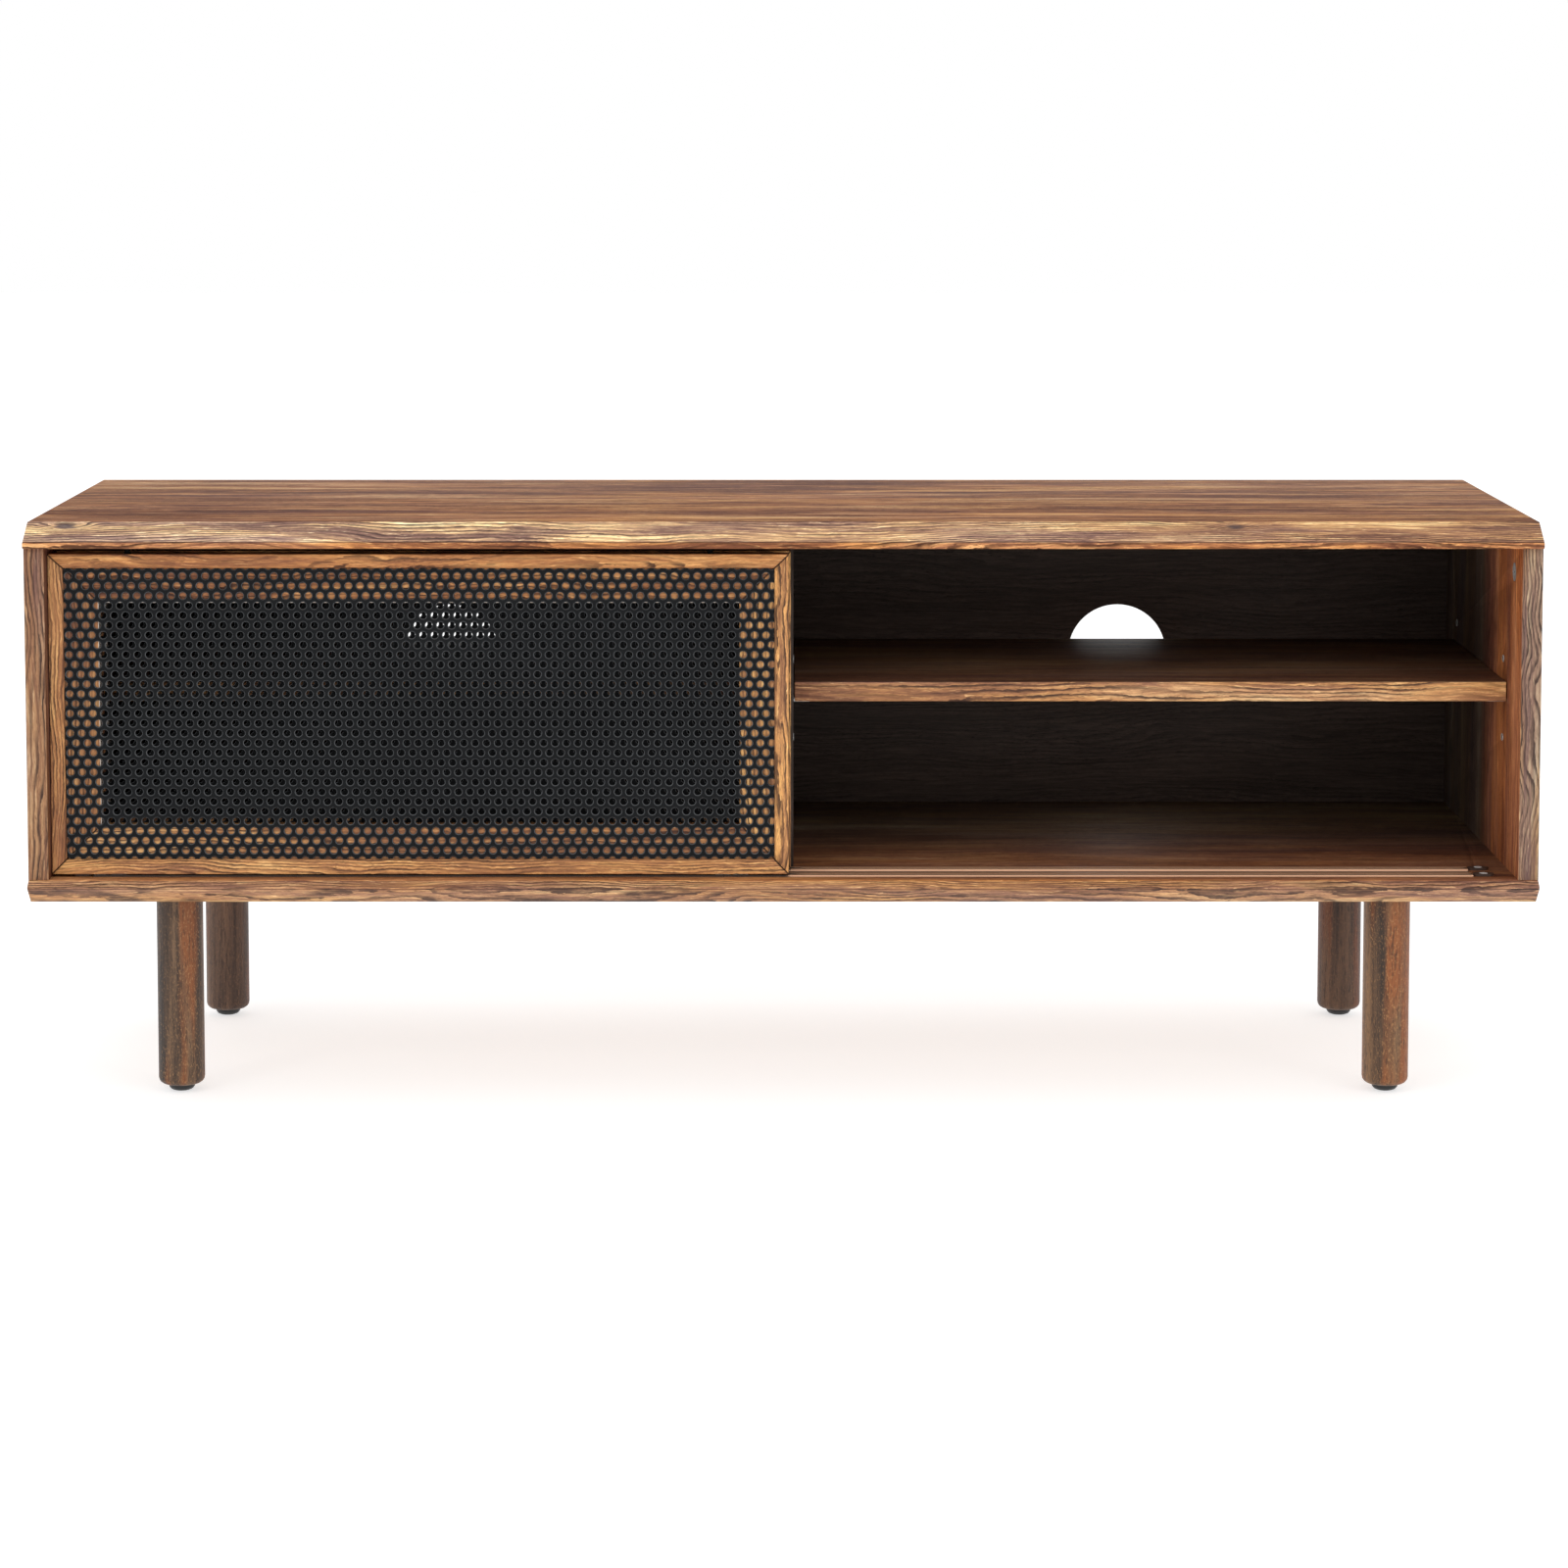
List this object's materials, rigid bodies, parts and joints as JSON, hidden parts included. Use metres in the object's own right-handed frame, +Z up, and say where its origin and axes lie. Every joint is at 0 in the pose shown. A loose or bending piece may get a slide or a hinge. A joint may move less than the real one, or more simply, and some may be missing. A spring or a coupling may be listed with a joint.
{
  "type": "media cabinet",
  "caption": "Low media cabinet on round legs: open compartments with adjustable shelves, cable holes in the back, and framed perforated-metal doors that slide on a twin track.",
  "frame": {"origin": "centre of the bounding box at floor level", "axes": "+X right along the length, +Y from the front to the back, +Z up; the doors are at -Y"},
  "size_m": [1.194, 0.394, 0.463],
  "materials": {
    "walnut_laminate": "printed wood-grain laminate, satin",
    "dark_laminate": "dark printed wood-grain board",
    "leg_wood": "stained solid wood, satin",
    "perforated_steel": "black powder-coated perforated sheet",
    "track_plastic": "brown extruded plastic",
    "black_plastic": "black moulded plastic",
    "nylon": "natural nylon",
    "steel": "zinc-plated steel"
  },
  "bodies": {
    "cabinet": {"top_panel": "walnut_laminate", "bottom_panel": "walnut_laminate", "left_side_panel": "walnut_laminate", "right_side_panel": "walnut_laminate", "centre_divider": "dark_laminate", "back_panel": "dark_laminate", "bottom_track": "track_plastic", "top_track": "track_plastic", "left_shelf_pin_front_inner": "steel", "left_shelf_pin_front_outer": "steel", "left_cam_lock_front": "steel", "left_shelf_pin_rear_inner": "steel", "left_shelf_pin_rear_outer": "steel", "left_cam_lock_rear": "steel", "right_shelf_pin_front_inner": "steel", "right_shelf_pin_front_outer": "steel", "right_cam_lock_front": "steel", "right_shelf_pin_rear_inner": "steel", "right_shelf_pin_rear_outer": "steel", "right_cam_lock_rear": "steel", "track_stop_front_left": "black_plastic", "leg_front_left": "leg_wood", "leg_bolt_front_left": "steel", "foot_glide_front_left": "black_plastic", "track_stop_front_right": "black_plastic", "leg_front_right": "leg_wood", "leg_bolt_front_right": "steel", "foot_glide_front_right": "black_plastic", "track_stop_rear_left": "black_plastic", "leg_rear_left": "leg_wood", "leg_bolt_rear_left": "steel", "foot_glide_rear_left": "black_plastic", "track_stop_rear_right": "black_plastic", "leg_rear_right": "leg_wood", "leg_bolt_rear_right": "steel", "foot_glide_rear_right": "black_plastic"},
    "front_door": {"front_door_top_rail": "walnut_laminate", "front_door_bottom_rail": "walnut_laminate", "front_door_left_stile": "walnut_laminate", "front_door_right_stile": "walnut_laminate", "front_door_mesh": "perforated_steel", "front_door_roller_housing_left": "nylon", "front_door_guide_pin_left": "nylon", "front_door_roller_housing_right": "nylon", "front_door_guide_pin_right": "nylon"},
    "front_door_roller_left": {"front_door_roller_left": "nylon"},
    "front_door_roller_right": {"front_door_roller_right": "nylon"},
    "rear_door": {"rear_door_top_rail": "walnut_laminate", "rear_door_bottom_rail": "walnut_laminate", "rear_door_left_stile": "walnut_laminate", "rear_door_right_stile": "walnut_laminate", "rear_door_mesh": "perforated_steel", "rear_door_roller_housing_left": "nylon", "rear_door_guide_pin_left": "nylon", "rear_door_roller_housing_right": "nylon", "rear_door_guide_pin_right": "nylon"},
    "rear_door_roller_left": {"rear_door_roller_left": "nylon"},
    "rear_door_roller_right": {"rear_door_roller_right": "nylon"},
    "left_shelf": {"left_shelf": "walnut_laminate"},
    "right_shelf": {"right_shelf": "walnut_laminate"}
  },
  "joints": [
    {"name": "front_door_slide", "type": "slide", "parent": "cabinet", "child": "front_door", "axis": [1, 0, 0], "range_m": [0, 0.5763]},
    {"name": "front_door_roller_left_spin", "type": "hinge", "parent": "front_door", "child": "front_door_roller_left", "pos_m": [-0.5352, -0.17, 0.1834], "axis": [0, 1, 0], "continuous": true},
    {"name": "front_door_roller_right_spin", "type": "hinge", "parent": "front_door", "child": "front_door_roller_right", "pos_m": [-0.0411, -0.17, 0.1834], "axis": [0, 1, 0], "continuous": true},
    {"name": "rear_door_slide", "type": "slide", "parent": "cabinet", "child": "rear_door", "axis": [1, 0, 0], "range_m": [0, 0.5746]},
    {"name": "rear_door_roller_left_spin", "type": "hinge", "parent": "rear_door", "child": "rear_door_roller_left", "pos_m": [-0.5335, -0.144, 0.1834], "axis": [0, 1, 0], "continuous": true},
    {"name": "rear_door_roller_right_spin", "type": "hinge", "parent": "rear_door", "child": "rear_door_roller_right", "pos_m": [-0.0394, -0.144, 0.1834], "axis": [0, 1, 0], "continuous": true},
    {"name": "left_shelf_lift", "type": "slide", "parent": "cabinet", "child": "left_shelf", "axis": [0, 0, 1], "range_m": [0, 0.032]},
    {"name": "right_shelf_lift", "type": "slide", "parent": "cabinet", "child": "right_shelf", "axis": [0, 0, 1], "range_m": [0, 0.032]}
  ],
  "couplings": [
    {"joint": "front_door_roller_left_spin", "follows": "front_door_slide", "rad_per_m": 181.82},
    {"joint": "front_door_roller_right_spin", "follows": "front_door_slide", "rad_per_m": 181.82},
    {"joint": "rear_door_roller_left_spin", "follows": "rear_door_slide", "rad_per_m": 181.82},
    {"joint": "rear_door_roller_right_spin", "follows": "rear_door_slide", "rad_per_m": 181.82}
  ]
}
